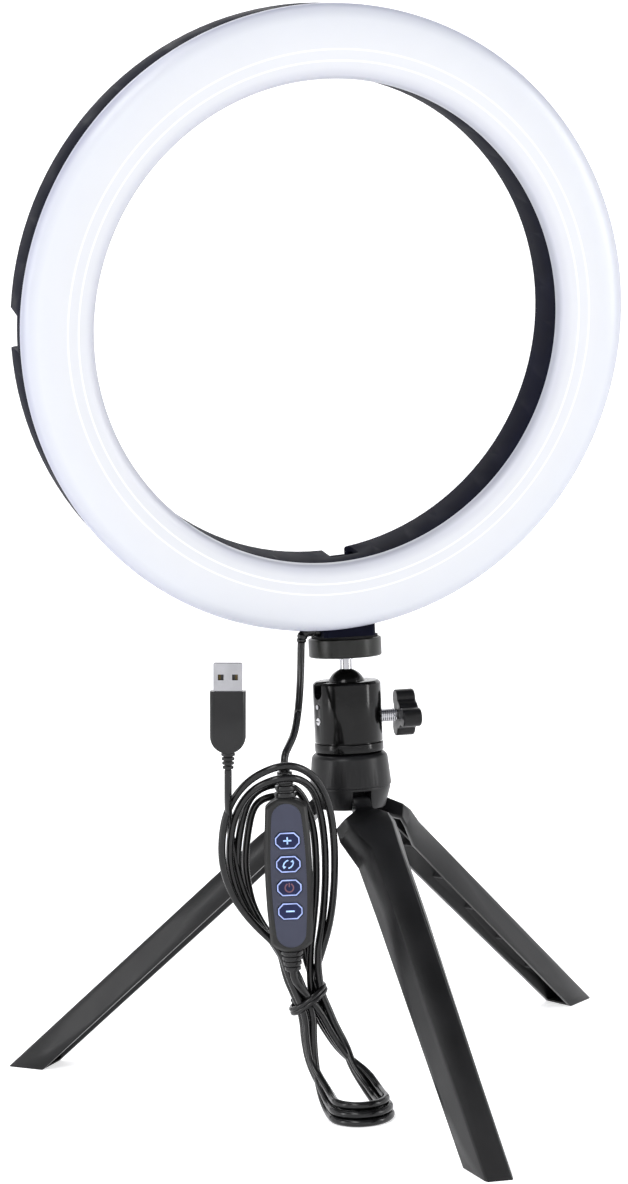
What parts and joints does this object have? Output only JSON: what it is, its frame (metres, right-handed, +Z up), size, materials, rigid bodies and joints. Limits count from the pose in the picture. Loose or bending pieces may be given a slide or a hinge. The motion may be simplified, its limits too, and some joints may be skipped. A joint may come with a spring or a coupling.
{
  "type": "ring light",
  "caption": "Round LED ring light with a milky diffuser on a mini ball head and folding tabletop tripod, with a corded inline dimmer and a folded USB lead.",
  "frame": {"origin": "on the table under the tripod's axis, midway between the three feet", "axes": "+Z up along the tripod's axis, the ring faces -Y, +X towards the lock knob"},
  "size_m": [0.2892, 0.2595, 0.4567],
  "materials": {
    "diffuser": "milky translucent, satin",
    "housing": "satin moulded",
    "board_white": "white solder mask",
    "led_yellow": "phosphor",
    "screw_steel": "zinc plated",
    "brass": "turned",
    "cord_pvc": "satin PVC",
    "head_black": "gloss anodised",
    "disc_black": "satin anodised",
    "pad_rubber": "matt",
    "chrome": "polished",
    "nylon": "natural nylon",
    "knob_black": "satin moulded",
    "hub_black": "satin moulded",
    "leg_black": "satin moulded",
    "dimmer_case": "satin moulded",
    "dimmer_label": "satin printed film",
    "button_glow": "lit from behind",
    "circuit_green": "solder mask",
    "tongue_white": "moulded",
    "contact_gold": "gold plated"
  },
  "bodies": {
    "tripod": {"hub_cap": "hub_black", "hub_body": "hub_black", "tripod_stud": "screw_steel", "hub_screw": "screw_steel", "hinge_pins": "screw_steel", "head_body": "head_black", "ball_seat": "nylon", "seat_washer": "screw_steel", "head_base": "head_black", "slot_pin": "chrome", "side_screw": "screw_steel", "dimmer_front": "dimmer_case", "dimmer_back": "dimmer_case", "dimmer_screws": "screw_steel", "dimmer_label": "dimmer_label", "dimmer_board": "circuit_green", "dimmer_relief_top": "cord_pvc", "dimmer_relief_bottom": "cord_pvc", "plug_grip": "cord_pvc", "plug_shell": "chrome", "plug_tongue": "tongue_white", "plug_contacts": "contact_gold", "plug_relief": "cord_pvc", "cord_hank": "cord_pvc", "hank_tie": "cord_pvc", "cord_drop": "cord_pvc", "cord_tail": "cord_pvc"},
    "ball": {"ball": "head_black"},
    "stem": {"stem": "chrome", "platform_disc": "disc_black", "platform_pad": "pad_rubber", "mount_stud": "screw_steel"},
    "ring": {"diffuser_cover": "diffuser", "rear_housing": "housing", "led_board": "board_white", "led_chips": "led_yellow", "board_screws": "screw_steel", "board_spacers": "nylon", "threaded_insert": "brass", "cable_gland": "cord_pvc", "cord_lead": "cord_pvc"},
    "lock_knob": {"lock_knob": "knob_black", "knob_screw": "chrome"},
    "leg_front": {"leg_front": "leg_black", "foot_pad_front": "pad_rubber"},
    "leg_right": {"leg_right": "leg_black", "foot_pad_right": "pad_rubber"},
    "leg_left": {"leg_left": "leg_black", "foot_pad_left": "pad_rubber"},
    "button_brighter": {"button_brighter": "button_glow"},
    "button_colour": {"button_colour": "button_glow"},
    "button_power": {"button_power": "button_glow"},
    "button_dimmer": {"button_dimmer": "button_glow"}
  },
  "joints": [
    {"name": "ball_lean", "type": "hinge", "parent": "tripod", "child": "ball", "pos_m": [0, 0, 0.171], "axis": [0, 1, 0], "range_deg": [-31, 34], "deforming": ["cord_lead"]},
    {"name": "ball_tilt", "type": "hinge", "parent": "ball", "child": "stem", "pos_m": [0, 0, 0.171], "axis": [1, 0, 0], "range_deg": [-32, 25], "deforming": ["cord_lead"]},
    {"name": "ring_turn", "type": "hinge", "parent": "stem", "child": "ring", "pos_m": [0, 0, 0.171], "axis": [0, 0, 1], "range_deg": [-90, 90], "deforming": ["cord_lead"]},
    {"name": "knob_turn", "type": "hinge", "parent": "tripod", "child": "lock_knob", "pos_m": [0.026, 0, 0.1575], "axis": [1, 0, 0], "continuous": true},
    {"name": "leg_front_fold", "type": "hinge", "parent": "tripod", "child": "leg_front", "pos_m": [0.00057, -0.01299, 0.1215], "axis": [0.999, 0.0436, 0], "range_deg": [0, 47]},
    {"name": "leg_right_fold", "type": "hinge", "parent": "tripod", "child": "leg_right", "pos_m": [0.01096, 0.00698, 0.1215], "axis": [-0.5373, 0.8434, 0], "range_deg": [0, 47]},
    {"name": "leg_left_fold", "type": "hinge", "parent": "tripod", "child": "leg_left", "pos_m": [-0.01153, 0.006, 0.1215], "axis": [-0.4617, -0.887, 0], "range_deg": [0, 47]},
    {"name": "button_brighter_press", "type": "slide", "parent": "tripod", "child": "button_brighter", "axis": [0.225, 0.9744, 0], "range_m": [0, 0.0006], "stiffness_N_per_m": 400},
    {"name": "button_colour_press", "type": "slide", "parent": "tripod", "child": "button_colour", "axis": [0.225, 0.9744, 0], "range_m": [0, 0.0006], "stiffness_N_per_m": 400},
    {"name": "button_power_press", "type": "slide", "parent": "tripod", "child": "button_power", "axis": [0.225, 0.9744, 0], "range_m": [0, 0.0006], "stiffness_N_per_m": 400},
    {"name": "button_dimmer_press", "type": "slide", "parent": "tripod", "child": "button_dimmer", "axis": [0.225, 0.9744, 0], "range_m": [0, 0.0006], "stiffness_N_per_m": 400}
  ]
}
